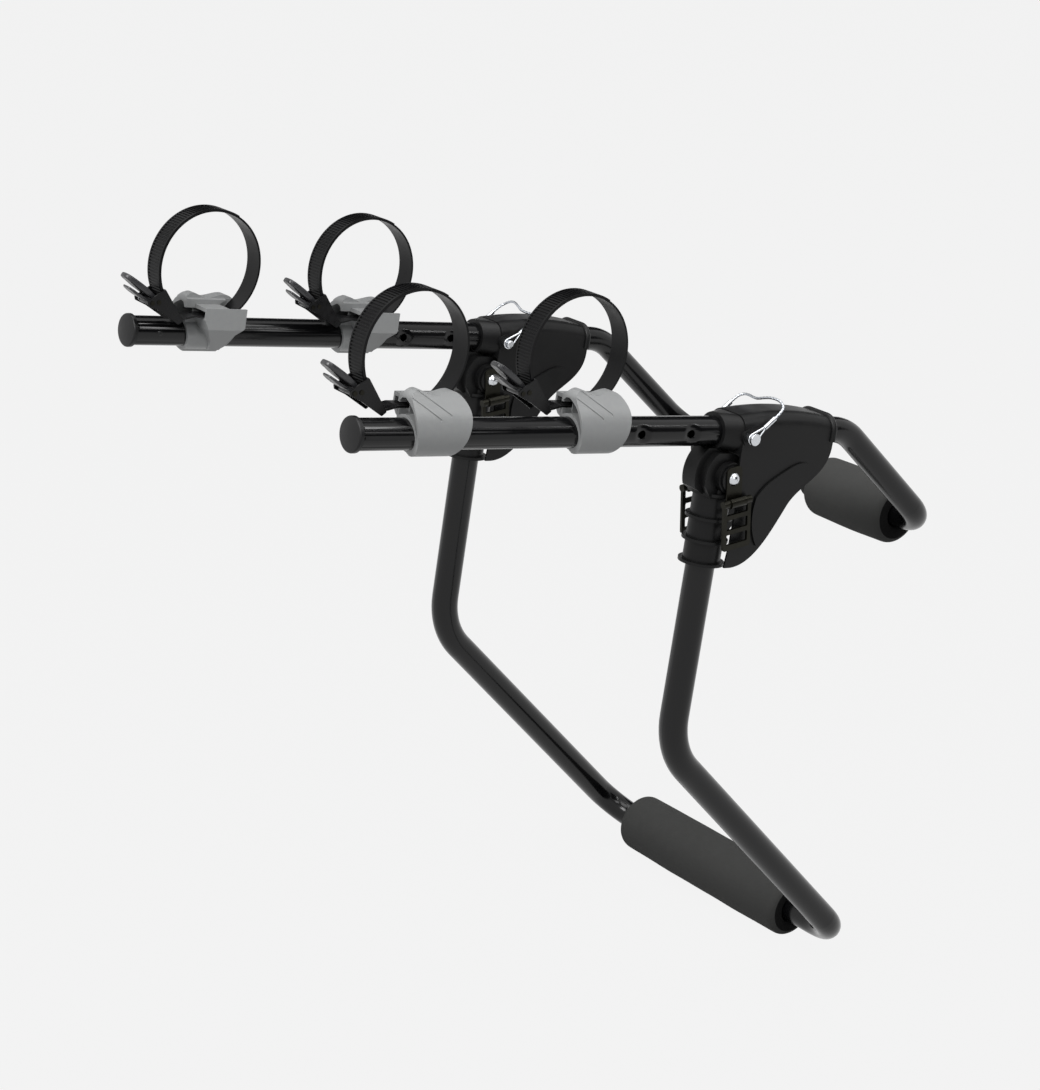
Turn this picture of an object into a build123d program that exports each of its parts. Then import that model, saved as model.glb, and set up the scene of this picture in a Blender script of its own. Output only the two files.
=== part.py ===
from build123d import *
import os
from math import acos, atan2, cos, pi, radians, sin, sqrt, tan

os.makedirs("parts", exist_ok=True)

# Strap-on rack for two bicycles, in millimetres and degrees.
# The origin is the centre of the upper crossbar, which rests on the vehicle.
# +X runs to the rack's right, +Y towards the vehicle, +Z up.
# Every place on a side is given from its hub point, where the arm's axis meets the leg's axis:
# s runs out along the arm, n stands square to it, and w runs outboard from the arm's axis.

# Frame layout
arm_spacing = 425.4
arm_x = arm_spacing / 2
hub_y = -317.6
hub_z = 182.1
arm_pitch = 11.3
leg_tilt = 10.4

# Tubes
arm_radius = 15.9
arm_wall = 1.5
arm_start = -38.0
arm_end = 474.0
upper_radius = 14.3
upper_wall = 1.5
upper_start = 30.0
upper_knee = -181.5
upper_knee_bend = 60.0
upper_corner_bend = 45.0
leg_radius = 15.9
leg_wall = 1.5
leg_top = 29.4
leg_knee = 360.0
leg_knee_bend = 85.0
lower_bar_y = -106.5
lower_bar_z = -499.0
lower_corner_bend = 48.0
slip = 0.1

# Pads
pad_radius = 36.0
pad_edge = 9.0
upper_pad_near = 40.0
upper_pad_far = 166.0
collar_radius = 19.5
collar_near = 19.0
lower_pad_left = -162.0
lower_pad_right = 130.0

# Arm holes and lock pin
pin_s = -12.0
hole_pitch = 68.0
hole_radius = 4.5
dimple_radius = 25.0
dimple_centre = 39.7
pin_radius = 4.42
pin_head_near = 37.0
pin_head_far = 40.0
pin_head_radius = 6.5

# Hub shroud
shroud_half = 27.75
cheek_half = 25.5
roof_n = -19.8
mouth_s = 15.0
neck_s = -6.0
shroud_back = -139.0
arm_bore_end = -112.0
band_slot_half = 12.0
boss_radius = 9.0
boss_height = 2.0
swoosh_height = 2.2

rivet_s = -124.0
rivet_radius = 2.4

# Leg pivot
pivot_drop = 45.4
bolt_radius = 4.0
bush_radius = 7.0
bracket_thick = 1.5
head_radius = 7.0
head_height = 5.0

# Leg knuckle
sleeve_radius = 20.5
sleeve_end = 145.0
rib_radius = 25.0
rib_drops = (66.0, 93.0, 118.0, 143.0)
band_radius = 38.0
band_half = 10.0
band_chord = 28.9
shoulder_radius = 30.0
shoulder_half = 18.0
shoulder_chord = 25.2
knuckle_radius = 25.0
knuckle_boss = 17.0
knuckle_half = 25.3

# Tie-down bracket and ladder buckle
bracket_width = 21.0
bracket_y = -7.0
bracket_top = -31.0
loop_z = -69.0
loop_radius = 4.2
bar_radius = 4.1
ladder_width = 38.0
ladder_drop = 52.0
ladder_thick = 3.1
ladder_pitch = 16.5
ladder_bar = 5.0

# Cradles
front_cradle_s = 383.0
rear_cradle_s = 180.0
cradle_bore = 16.0
ring_radius = 19.2
groove_width = 2.4
groove_depth = 0.7

# Ratchet strap and buckle, measured from the middle of a cradle
loop_u = 23.0
loop_v = 77.0
strap_inner = 60.0
strap_thick = 2.2
strap_width = 24.0
strap_w = -23.0
tooth_pitch = 3.4
tooth_height = 0.9
tooth_half = 10.0
buckle_angle = -38.0
first_tooth = -44.0
tooth_count = 52
base_half = 14.2
wall_thick = 1.6
tongue_half = 11.5
lever_half = 11.0
tab_half = 10.0
lever_pivot = (9.0, 6.0)
tab_pivot = (15.8, 10.0)
buckle_pin = 1.5

pitch = radians(arm_pitch)
tilt = radians(leg_tilt)
out_dir = Vector(0, -cos(pitch), sin(pitch))
up_dir = Vector(0, sin(pitch), cos(pitch))
leg_dir = Vector(0, -sin(tilt), -cos(tilt))
hub = Vector(arm_x, hub_y, hub_z)
pivot = hub + leg_dir * pivot_drop


def beside_arm(s=0.0, n=0.0, w=0.0, turn=0.0):
    """Plane square to X: local x runs out along the arm, y up from it, z inboard."""
    angle = radians(turn)
    origin = hub + out_dir * s + up_dir * n + Vector(w, 0, 0)
    return Plane(origin=origin, x_dir=out_dir * cos(angle) + up_dir * sin(angle), z_dir=(-1, 0, 0))


def across_arm(s, n=0.0, w=0.0):
    """Plane square to the arm: local x runs outboard, y up from the arm, z out along it."""
    return Plane(origin=hub + out_dir * s + up_dir * n + Vector(w, 0, 0), x_dir=(1, 0, 0), z_dir=out_dir)


def across_leg(drop):
    """Plane square to the leg's axis, its normal pointing down the leg."""
    return Plane(origin=hub + leg_dir * drop, x_dir=(1, 0, 0), z_dir=leg_dir)


def facing_out(point, w=0.0):
    """Plane square to X through a point, its normal pointing outboard on the right side."""
    return Plane(origin=point + Vector(w, 0, 0), x_dir=(0, 1, 0), z_dir=(1, 0, 0))


def dome_radius(half_width, height):
    """Radius of the sphere whose cap has this half width and height."""
    return (half_width**2 + height**2) / (2 * height)


def save(solid, name):
    """Label one finished piece and write its file."""
    solid.label = name
    export_step(solid, "parts/" + name + ".step")


def save_pair(piece, name):
    """Write the right-hand piece and its mirror image on the left."""
    save(piece, name + "_right")
    with BuildPart() as left:
        mirror(piece, about=Plane.YZ)
    save(left.part, name + "_left")


def save_group(piece, name):
    """Write like pieces of both sides as one group of solids."""
    with BuildPart() as both:
        add(piece)
        mirror(piece, about=Plane.YZ)
    save(both.part, name)


# Upper frame: one tube bent into a U, its two ends sliding into the arms
upper_start_point = hub + out_dir * upper_start
upper_knee_point = hub + out_dir * upper_knee
upper_right = (upper_start_point, upper_knee_point, Vector(arm_x, 0, 0))
upper_left = tuple(Vector(-p.X, p.Y, p.Z) for p in reversed(upper_right))
with BuildPart() as upper_frame_tube:
    with BuildLine():
        FilletPolyline(
            *upper_right,
            *upper_left,
            radius=[upper_knee_bend, upper_corner_bend, upper_corner_bend, upper_knee_bend],
        )
    with BuildSketch(Plane(origin=upper_start_point, z_dir=-out_dir)):
        Circle(upper_radius)
        Circle(upper_radius - upper_wall, mode=Mode.SUBTRACT)
    sweep()
    for side in (1, -1):
        with BuildSketch(beside_arm(pin_s, w=(side - 1) * arm_x)):
            Circle(hole_radius)
        extrude(amount=arm_radius, both=True, mode=Mode.SUBTRACT)
        rivet_foot = Vector(side * hub.X, hub.Y, hub.Z) + out_dir * rivet_s
        with BuildSketch(Plane(origin=rivet_foot, z_dir=-up_dir)):
            Circle(rivet_radius + 0.05)
        extrude(amount=arm_radius, mode=Mode.SUBTRACT)
save(upper_frame_tube.part, "upper_frame_tube")


# Lower frame: a second bent U that hangs from the two leg pivots
leg_top_point = hub + leg_dir * leg_top
leg_knee_point = hub + leg_dir * leg_knee
lower_right = (leg_top_point, leg_knee_point, Vector(arm_x, lower_bar_y, lower_bar_z))
lower_left = tuple(Vector(-p.X, p.Y, p.Z) for p in reversed(lower_right))
with BuildPart() as lower_frame_tube:
    with BuildLine():
        FilletPolyline(
            *lower_right,
            *lower_left,
            radius=[leg_knee_bend, lower_corner_bend, lower_corner_bend, leg_knee_bend],
        )
    with BuildSketch(Plane(origin=leg_top_point, z_dir=leg_dir)):
        Circle(leg_radius)
        Circle(leg_radius - leg_wall, mode=Mode.SUBTRACT)
    sweep()
    for side in (1, -1):
        with BuildSketch(facing_out(Vector(side * pivot.X, pivot.Y, pivot.Z))):
            Circle(bush_radius + slip)
        extrude(amount=leg_radius + 2, both=True, mode=Mode.SUBTRACT)
save(lower_frame_tube.part, "lower_frame_tube")


def foam_pad(centre, x_near, x_far, core):
    """A foam sleeve along X with softly crowned ends."""
    with BuildPart() as pad:
        with BuildSketch(Plane(origin=centre, x_dir=(1, 0, 0), z_dir=(0, -1, 0))):
            with BuildLine():
                Polyline(
                    (x_near + 2, core),
                    (x_near, core + 4),
                    (x_near, pad_radius - pad_edge),
                )
                RadiusArc((x_near, pad_radius - pad_edge), (x_near + pad_edge, pad_radius), pad_edge)
                ThreePointArc(
                    (x_near + pad_edge, pad_radius),
                    ((x_near + x_far) / 2, pad_radius + 0.6),
                    (x_far - pad_edge, pad_radius),
                )
                RadiusArc((x_far - pad_edge, pad_radius), (x_far, pad_radius - pad_edge), pad_edge)
                Polyline(
                    (x_far, pad_radius - pad_edge),
                    (x_far, core + 4),
                    (x_far - 2, core),
                    (x_near + 2, core),
                )
            make_face()
        revolve(axis=Axis(centre, (1, 0, 0)))
    return pad.part


# Foam pads: two on the upper crossbar, one long one on the lower
upper_pad = foam_pad(Vector(0, 0, 0), upper_pad_near, upper_pad_far, upper_radius + slip)
save_pair(upper_pad, "upper_pad")
lower_bar = Vector(0, lower_bar_y, lower_bar_z)
lower_pad = foam_pad(lower_bar, lower_pad_left, lower_pad_right, leg_radius + slip)
save(lower_pad, "lower_pad")

# A short foam collar closes the inner end of each upper pad
with BuildPart() as pad_collar:
    with BuildSketch(Plane.YZ.offset(collar_near)):
        Circle(collar_radius)
        Circle(upper_radius + slip, mode=Mode.SUBTRACT)
    extrude(amount=upper_pad_near - collar_near)
    fillet(pad_collar.faces().sort_by(Axis.X)[0].outer_wire().edges(), 3)
save_group(pad_collar.part, "upper_pad_collars")


# Arms: straight tubes with a row of adjusting holes across them
with BuildPart() as arm:
    with BuildSketch(across_arm(arm_start)):
        Circle(arm_radius)
        Circle(arm_radius - arm_wall, mode=Mode.SUBTRACT)
    extrude(amount=arm_end - arm_start)
    with BuildSketch(beside_arm()):
        with Locations(*[(pin_s + step * hole_pitch, 0) for step in range(3)]):
            Circle(hole_radius)
    extrude(amount=arm_radius + 2, both=True, mode=Mode.SUBTRACT)
    for w in (dimple_centre, -dimple_centre):
        with Locations(*[hub + out_dir * (pin_s + step * hole_pitch) + Vector(w, 0, 0) for step in (1, 2)]):
            Sphere(dimple_radius, mode=Mode.SUBTRACT)
save_pair(arm.part, "arm")

# Push-in cap with a slightly domed flange on the tip of each arm
with BuildPart() as arm_cap:
    with BuildSketch(Plane(origin=hub, x_dir=out_dir, z_dir=(-1, 0, 0))):
        with BuildLine():
            Line((arm_end - 12, 0), (arm_end - 12, 13.4))
            Line((arm_end - 12, 13.4), (arm_end - 10.5, 14.3))
            Line((arm_end - 10.5, 14.3), (arm_end, 14.3))
            Line((arm_end, 14.3), (arm_end, 18.0))
            Line((arm_end, 18.0), (arm_end + 3, 18.0))
            RadiusArc((arm_end + 3, 18.0), (arm_end + 5, 16.0), 2)
            RadiusArc((arm_end + 5, 16.0), (arm_end + 6.2, 0), dome_radius(16.0, 1.2))
            Line((arm_end + 6.2, 0), (arm_end - 12, 0))
        make_face()
    revolve(axis=Axis(hub, out_dir))
save_pair(arm_cap.part, "arm_cap")


# Hub shroud: a moulded roof that holds the tubes, and two fan-shaped cheeks for the fold
with BuildPart() as shroud:
    with BuildSketch(beside_arm()):
        with BuildLine():
            Spline((neck_s, 21), (-40, 24.5), (-95, 24.5), (shroud_back, 19))
            Line((shroud_back, 19), (shroud_back, -9))
            Spline((shroud_back, -9), (-127, -40), (-101, -61), (-85, -80))
            Spline((-85, -80), (-61, -118), (-37, -139), (-18, -144))
            Line((-18, -144), (-11, -144))
            Line((-11, -144), (-13, -122))
            Line((-13, -122), (-13, -52.1))
            ThreePointArc((-13, -52.1), (13.3, -45.4), (-7, -33))
            Line((-7, -33), (neck_s, -20))
            Line((neck_s, -20), (neck_s, 21))
        make_face()
    extrude(amount=shroud_half, both=True)
    top_edges = shroud.edges().filter_by(lambda e: e.length > 100 and (e.center() - hub).dot(up_dir) > 18)
    fillet(top_edges, 15)

    # Flared neck from the roof to the round mouth
    for s, width, height, corner, rise in (
        (neck_s - 3, 2 * shroud_half - 0.6, 39.8, 15.5, 0.4),
        (5.0, 46.0, 40.4, 18.0, 0.2),
        (mouth_s, 40.4, 40.4, 19.6, 0.0),
    ):
        with BuildSketch(across_arm(s, rise)):
            RectangleRounded(width, height, corner)
    loft()

    # Space for the leg between the cheeks, and the slot for the knuckle's front band
    with BuildSketch(beside_arm()):
        with Locations((-80, roof_n)):
            Rectangle(260, 160, align=(Align.CENTER, Align.MAX))
    extrude(amount=cheek_half, both=True, mode=Mode.SUBTRACT)
    with BuildSketch(beside_arm()):
        with Locations((-8, -16.2)):
            Rectangle(60, 12, align=(Align.MIN, Align.MAX))
    extrude(amount=band_slot_half, both=True, mode=Mode.SUBTRACT)

    # Raised lower field of each cheek, its edge sloping like a swoosh
    for half, away in ((shroud_half, -1), (-shroud_half, 1)):
        with BuildSketch(beside_arm(w=half)):
            with BuildLine():
                Spline((-118, -40), (-100, -29), (-70, -40), (-52, -51), (-38, -66))
                Spline((-38, -66), (-36.5, -86), (-40, -102), (-50, -120))
                Spline((-50, -120), (-66, -99), (-85, -72), (-101, -55), (-118, -40))
            make_face()
        extrude(amount=away * swoosh_height)

    # Round boss about the lock pin
    with BuildSketch(beside_arm(pin_s)):
        Circle(boss_radius)
    extrude(amount=shroud_half + boss_height, both=True)

    # Rolled rim round the back of the roof
    with BuildLine() as rim_path:
        with BuildLine(across_arm(shroud_back + 2)):
            FilletPolyline(
                (-shroud_half, -6), (-shroud_half, 19), (shroud_half, 19), (shroud_half, -6), radius=15
            )
    with BuildSketch(Plane(origin=rim_path.line @ 0, z_dir=up_dir)):
        Circle(3.6)
    sweep(path=rim_path.line)

    # Bores for arm and upper tube, and holes for lock pin and pivot bolt
    with BuildSketch(across_arm(arm_bore_end)):
        Circle(arm_radius + slip)
    extrude(amount=mouth_s - arm_bore_end + 20, mode=Mode.SUBTRACT)
    with BuildSketch(across_arm(shroud_back - 20)):
        Circle(upper_radius + slip)
    extrude(amount=arm_bore_end - shroud_back + 21, mode=Mode.SUBTRACT)
    with BuildSketch(beside_arm(pin_s)):
        Circle(hole_radius)
    with BuildSketch(facing_out(pivot)):
        Circle(bolt_radius + slip)
    extrude(amount=shroud_half + 10, both=True, mode=Mode.SUBTRACT)
    with BuildSketch(Plane(origin=hub + out_dir * rivet_s, z_dir=-up_dir)):
        Circle(rivet_radius + 0.05)
    extrude(amount=30, mode=Mode.SUBTRACT)
save_pair(shroud.part, "hub_shroud")


# Leg knuckle: a ribbed socket round the leg with a stepped disc that turns between the cheeks
pivot_n = -pivot_drop * cos(pitch - tilt)
pivot_s = -pivot_drop * sin(pitch - tilt)
with BuildPart() as knuckle:
    with BuildSketch(across_leg(pivot_drop)):
        Circle(sleeve_radius)
    extrude(amount=sleeve_end - pivot_drop)
    for drop in rib_drops:
        with BuildSketch(across_leg(drop - 1.6)):
            Circle(rib_radius)
        extrude(amount=3.2)
    with BuildSketch(beside_arm(pivot_s, pivot_n)):
        Circle(knuckle_radius)
    extrude(amount=shoulder_half, both=True)
    for radius, half, chord in (
        (band_radius, band_half, band_chord),
        (shoulder_radius, shoulder_half, shoulder_chord),
    ):
        reach = sqrt(radius**2 - chord**2)
        low = radians(-22)
        with BuildSketch(beside_arm(pivot_s, pivot_n)):
            with BuildLine():
                Polyline((0, 0), (0, chord), (reach, chord))
                ThreePointArc(
                    (reach, chord),
                    (radius * cos(radians(12)), radius * sin(radians(12))),
                    (radius * cos(low), radius * sin(low)),
                )
                Polyline((radius * cos(low), radius * sin(low)), (18, -24), (0, -24), (0, 0))
            make_face()
        extrude(amount=half, both=True)
    with BuildSketch(beside_arm(pivot_s, pivot_n)):
        Circle(knuckle_boss)
    extrude(amount=knuckle_half, both=True)
    with BuildSketch(across_leg(leg_top - 0.1)):
        Circle(leg_radius + slip)
    extrude(amount=sleeve_end, mode=Mode.SUBTRACT)
    with BuildSketch(facing_out(pivot)):
        Circle(bush_radius + 0.06)
    extrude(amount=knuckle_half + 1, both=True, mode=Mode.SUBTRACT)
save_pair(knuckle.part, "leg_knuckle")

# Steel bush clamped between the cheeks, on which the knuckle turns
with BuildPart() as bush:
    with BuildSketch(facing_out(pivot)):
        Circle(bush_radius)
        Circle(bolt_radius + 0.05, mode=Mode.SUBTRACT)
    extrude(amount=cheek_half, both=True)
save_group(bush.part, "pivot_bushes")

# Pivot bolt: domed head outboard, domed cap nut inboard
bolt_seat = shroud_half + bracket_thick
with BuildPart() as bolt:
    with BuildSketch(facing_out(pivot, -bolt_seat - 4)):
        Circle(bolt_radius)
    extrude(amount=2 * bolt_seat + 4)
    with BuildSketch(Plane(origin=pivot, x_dir=(1, 0, 0), z_dir=(0, -1, 0))):
        with BuildLine():
            Line((bolt_seat, 0), (bolt_seat, head_radius))
            Line((bolt_seat, head_radius), (bolt_seat + 1, head_radius))
            RadiusArc(
                (bolt_seat + 1, head_radius),
                (bolt_seat + head_height, 0),
                dome_radius(head_radius, head_height - 1),
            )
            Line((bolt_seat + head_height, 0), (bolt_seat, 0))
        make_face()
    revolve(axis=Axis(pivot, (1, 0, 0)))
save_group(bolt.part, "pivot_bolts")

with BuildPart() as nut:
    with BuildSketch(Plane(origin=pivot, x_dir=(1, 0, 0), z_dir=(0, -1, 0))):
        with BuildLine():
            Polyline(
                (-bolt_seat, bolt_radius + 0.02),
                (-bolt_seat, head_radius),
                (-bolt_seat - 3, head_radius),
            )
            RadiusArc(
                (-bolt_seat - 3, head_radius),
                (-bolt_seat - head_height - 2, 0),
                -dome_radius(head_radius, head_height - 1),
            )
            Polyline(
                (-bolt_seat - head_height - 2, 0),
                (-bolt_seat - 4.2, 0),
                (-bolt_seat - 4.2, bolt_radius + 0.02),
                (-bolt_seat, bolt_radius + 0.02),
            )
        make_face()
    revolve(axis=Axis(pivot, (1, 0, 0)))
save_group(nut.part, "pivot_nuts")

# Blind rivet that holds the shroud's roof to the upper tube, set from below
with BuildPart() as rivet:
    with BuildSketch(Plane(origin=hub + out_dir * rivet_s, x_dir=out_dir, z_dir=(-1, 0, 0))):
        with BuildLine():
            Polyline((0, roof_n - 2), (0, -11), (rivet_radius, -11), (rivet_radius, roof_n), (5, roof_n))
            RadiusArc((5, roof_n), (0, roof_n - 2), dome_radius(5, 2))
        make_face()
    revolve(axis=Axis(hub + out_dir * rivet_s, up_dir))
save_group(rivet.part, "shroud_rivets")


def tie_bracket(away):
    """Steel strap on one cheek, held by the pivot bolt and curled into an eye below."""
    level = Plane(
        origin=hub + Vector(away * shroud_half, bracket_y, 0), x_dir=(away, 0, 0), z_dir=(0, -away, 0)
    )
    outer = loop_radius + bracket_thick
    with BuildPart() as bracket:
        with BuildSketch(level):
            with BuildLine():
                curl = (outer, loop_z)
                Line((0, bracket_top), (0, loop_z))
                CenterArc(curl, outer, 180, 250)
                end_out = (outer + outer * cos(radians(70)), loop_z + outer * sin(radians(70)))
                end_in = (outer + loop_radius * cos(radians(70)), loop_z + loop_radius * sin(radians(70)))
                Line(end_out, end_in)
                CenterArc(curl, loop_radius, 70, -250)
                Line((bracket_thick, loop_z), (bracket_thick, bracket_top))
                Line((bracket_thick, bracket_top), (0, bracket_top))
            make_face()
        extrude(amount=bracket_width / 2, both=True)
        top_corners = bracket.edges().filter_by(Axis.X).group_by(Axis.Z)[-1]
        fillet(top_corners, 6)
        with BuildSketch(facing_out(pivot, away * shroud_half)):
            Circle(bolt_radius + slip)
        extrude(amount=4, both=True, mode=Mode.SUBTRACT)
    return bracket.part


def ladder_buckle(away):
    """Flat ladder buckle for the tie-down webbing, hung by its round top bar."""
    level = Vector(away * (shroud_half + bracket_thick + loop_radius), bracket_y, loop_z)
    top = hub + level
    half = ladder_width / 2
    with BuildPart() as ladder:
        with BuildSketch(facing_out(top)):
            with Locations((0, -ladder_drop / 2)):
                RectangleRounded(ladder_width, ladder_drop, 3)
            with Locations((0, 0)):
                Rectangle(ladder_width + 2, 8, mode=Mode.SUBTRACT)
            with Locations(*[(0, 1.3 - (step + 0.5) * ladder_pitch) for step in range(3)]):
                RectangleRounded(ladder_width - 9, ladder_pitch - ladder_bar, 1.5, mode=Mode.SUBTRACT)
        extrude(amount=ladder_thick / 2, both=True)
        with BuildSketch(facing_out(top)):
            with Locations((-half + 2.25, -3), (half - 2.25, -3)):
                Rectangle(4.5, 6)
        extrude(amount=ladder_thick / 2, both=True)
        with BuildSketch(Plane(origin=top + Vector(0, -half, 0), x_dir=(1, 0, 0), z_dir=(0, 1, 0))):
            Circle(bar_radius)
        extrude(amount=ladder_width)
    return ladder.part


for away, where in ((1, "outer"), (-1, "inner")):
    save_pair(tie_bracket(away), "tie_bracket_" + where)
    save_pair(ladder_buckle(away), "ladder_buckle_" + where)


# Lock pin with a disc head, which slides out sideways
with BuildPart() as lock_pin:
    with BuildSketch(facing_out(hub + out_dir * pin_s, -pin_head_far)):
        Circle(pin_radius)
    extrude(amount=pin_head_far + pin_head_near)
    chamfer(lock_pin.faces().sort_by(Axis.X)[0].edges(), 1)
    with BuildSketch(facing_out(hub + out_dir * pin_s, pin_head_near)):
        Circle(pin_head_radius)
    extrude(amount=pin_head_far - pin_head_near)
    fillet(lock_pin.faces().sort_by(Axis.X)[-1].edges(), 0.8)
save_pair(lock_pin.part, "lock_pin")


# Lanyard cable over the shroud, from an eye round the pin's neck to an eye round its tip
cable_radius = 1.5
crimp_radius = 2.6
crimp_near = 18.0
crimp_far = 34.0
eye_w = 35.0
eye_wire = 1.0
cable_route = (
    (-38.0, 22.0, 35.0),
    (-45.6, 28.5, 35.0),
    (-51.0, 34.0, 30.5),
    (-51.5, 38.0, 22.0),
    (-50.0, 38.5, 12.5),
    (-47.0, 36.0, 3.5),
    (-45.5, 32.5, -5.0),
    (-47.5, 32.0, -13.0),
    (-51.5, 35.5, -22.0),
    (-51.0, 33.5, -30.5),
    (-45.6, 28.5, -35.0),
    (-38.0, 22.0, -35.0),
)
cable_points = [hub + out_dir * s + up_dir * n + Vector(w, 0, 0) for s, n, w in cable_route]
cable_radii = []
for before, here, after in zip(cable_points, cable_points[1:], cable_points[2:]):
    turn = radians((here - before).get_angle(after - here))
    cable_radii.append(0.45 * min((here - before).length, (after - here).length) / tan(turn / 2))
print("lanyard radii", [round(r, 1) for r in cable_radii])
with BuildPart() as lanyard:
    with BuildLine() as cable_line:
        FilletPolyline(*cable_points, radius=cable_radii)
    cable_wire = cable_line.wires()[0]
    with BuildSketch(Plane(origin=cable_points[0], z_dir=cable_wire % 0)):
        Circle(cable_radius)
    sweep()
cable_volume = pi * cable_radius**2 * cable_wire.length
print("lanyard length", round(cable_wire.length, 1))
print("lanyard volume", round(lanyard.part.volume, 1), "section times length", round(cable_volume, 1))
save_pair(lanyard.part, "lanyard_cable")

# Crimped sleeve on each end of the cable, and the wire eye that it grips
crimp_lead = (cable_points[0] - (hub + out_dir * pin_s + Vector(eye_w, 0, 0))).normalized()
with BuildPart() as crimps:
    for w in (eye_w, -eye_w):
        crimp_start = hub + out_dir * pin_s + Vector(w, 0, 0) + crimp_lead * crimp_near
        with BuildSketch(Plane(origin=crimp_start, z_dir=crimp_lead)):
            Circle(crimp_radius)
        extrude(amount=crimp_far - crimp_near)
save_group(crimps.part, "lanyard_crimps")

eye_radius = pin_radius + 0.25 + eye_wire
end_gap = eye_wire + 0.1
with BuildPart() as eyes:
    for w in (eye_w, -eye_w):
        eye_centre = hub + out_dir * pin_s + Vector(w, 0, 0)
        eye_plane = Plane(origin=eye_centre, x_dir=crimp_lead, z_dir=(1, 0, 0))
        swing = atan2(end_gap, crimp_near) + acos(eye_radius / sqrt(crimp_near**2 + end_gap**2))
        touch = (eye_radius * cos(swing), eye_radius * sin(swing))
        with BuildLine(eye_plane) as eye_line:
            Line((crimp_near - eye_wire / 4, end_gap), touch)
            ThreePointArc(touch, (-eye_radius, 0), (touch[0], -touch[1]))
            Line((touch[0], -touch[1]), (crimp_near - eye_wire / 4, -end_gap))
        eye_path = eye_line.wires()[0]
        with BuildSketch(Plane(origin=eye_path @ 0, z_dir=eye_path % 0)):
            Circle(eye_wire)
        sweep(path=eye_path)
save_group(eyes.part, "lanyard_eyes")


def shell_points(inset):
    """Section of a cradle's shell from its foot to its ridge, drawn in by an inset."""
    outline = ((0, -22), (13, -17.5), (21.5, -4), (22.5, 8), (17, 24), (8, 36), (1, 48))
    points = []
    for w, n in outline:
        away = Vector(w, n - 8).normalized()
        points.append((w - inset * away.X, n - inset * away.Y))
    return points


def cradle(centre):
    """Moulded cradle that turns on the arm: ring, arched shell with two humps, strap housing."""
    with BuildPart() as body:
        # Arched outer shell: outboard of the arm, over it, and down to the roof of the housing
        with BuildSketch(across_arm(centre - 40)):
            with BuildLine():
                Spline(*shell_points(0))
                Polyline((1, 48), (-8, 48), (-10, 39), (-14, 38), (-14, -6), (0, -22))
            make_face()
        extrude(amount=80)
        with BuildSketch(beside_arm(centre)):
            with BuildLine():
                Line((-18, -23), (22, -23))
                Spline((22, -23), (26, -17), (31, 0), (34, 15), (35, 26), (34.5, 36))
                Spline((34.5, 36), (31, 41.5), (24, 44), (16, 41.5), (7, 38.8), (-4, 41), (-16, 43))
                Spline((-16, 43), (-26, 38), (-32, 27), (-31, 10), (-27, -6), (-18, -23))
            make_face()
        extrude(amount=60, both=True, mode=Mode.INTERSECT)

        # Two diagonal grooves, a round scoop and the mould's parting line in the shell's skin
        with BuildSketch(beside_arm(centre)):
            for start, end in (((39.6, 39.5), (5, 17.7)), ((35.4, 48.2), (-8, 21.5))):
                run = Vector(end[0] - start[0], end[1] - start[1])
                slope = atan2(run.Y, run.X) * 180 / pi
                with Locations(((start[0] + end[0]) / 2, (start[1] + end[1]) / 2)):
                    SlotOverall(run.length, groove_width, rotation=slope)
        grooves = extrude(amount=-60, mode=Mode.PRIVATE)
        with BuildSketch(across_arm(centre - 40)):
            with BuildLine():
                Spline(*shell_points(0))
                Spline(*shell_points(groove_depth))
                Line((1, 48), shell_points(groove_depth)[-1])
                Line((0, -22), shell_points(groove_depth)[0])
            make_face()
        skin = extrude(amount=80, mode=Mode.PRIVATE)
        add(grooves & skin, mode=Mode.SUBTRACT)

        # Hollow under the arch, open at the front
        with BuildSketch(across_arm(centre - 8)):
            with BuildLine():
                Spline((8, -17), (16, -9), (19.5, 0), (19.3, 9), (14.5, 23), (5.5, 31), (-3, 35))
                Polyline((-3, 35), (-8, 34), (-11, 31), (-11, 10), (8, -17))
            make_face()
        extrude(amount=90, mode=Mode.SUBTRACT)

        # Ring round the arm
        with BuildSketch(beside_arm(centre)):
            with BuildLine():
                Line((-14, -23), (22, -23))
                Spline((22, -23), (26, -17), (31, 0), (34, 15), (34.5, 23))
                Polyline((34.5, 23), (-31, 23), (-31, 4), (-14, -23))
            make_face()
        ring_blank = extrude(amount=ring_radius + 1, both=True, mode=Mode.PRIVATE)
        with BuildSketch(across_arm(centre - 40)):
            Circle(ring_radius)
        ring_tube = extrude(amount=90, mode=Mode.PRIVATE)
        add(ring_blank & ring_tube)

        # Strap housing on the inboard side, flaring down into the ring
        with BuildSketch(beside_arm(centre)):
            with BuildLine():
                Polyline(
                    (-28, 12), (-28, 33), (23, 33), (23, 20), (17, 9), (5, -5), (-2, -20), (-12, -20),
                    (-20, 3), (-28, 12),
                )
            make_face()
        flank = extrude(amount=40, both=True, mode=Mode.PRIVATE)
        with BuildSketch(across_arm(centre - 40)):
            with BuildLine():
                Polyline((-10, 33), (-38, 33), (-38, 10), (-15, -17), (-6, -17), (-10, 33))
            make_face()
        section = extrude(amount=80, mode=Mode.PRIVATE)
        add(flank & section)

        # Slot for strap and buckle tongue
        with BuildSketch(beside_arm(centre, w=-10.5)):
            with Locations((-8, 22.4)):
                Rectangle(100, 6.6, align=(Align.CENTER, Align.MIN))
            with BuildLine():
                Polyline((-50, 22.4), (-6, 22.4), (-1, 29), (-12.5, 36.5), (-30, 50), (-50, 50), (-50, 22.4))
            make_face()
        extrude(amount=25, mode=Mode.SUBTRACT)

        with BuildSketch(across_arm(centre - 50)):
            Circle(cradle_bore)
        extrude(amount=140, mode=Mode.SUBTRACT)
    return body.part


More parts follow.
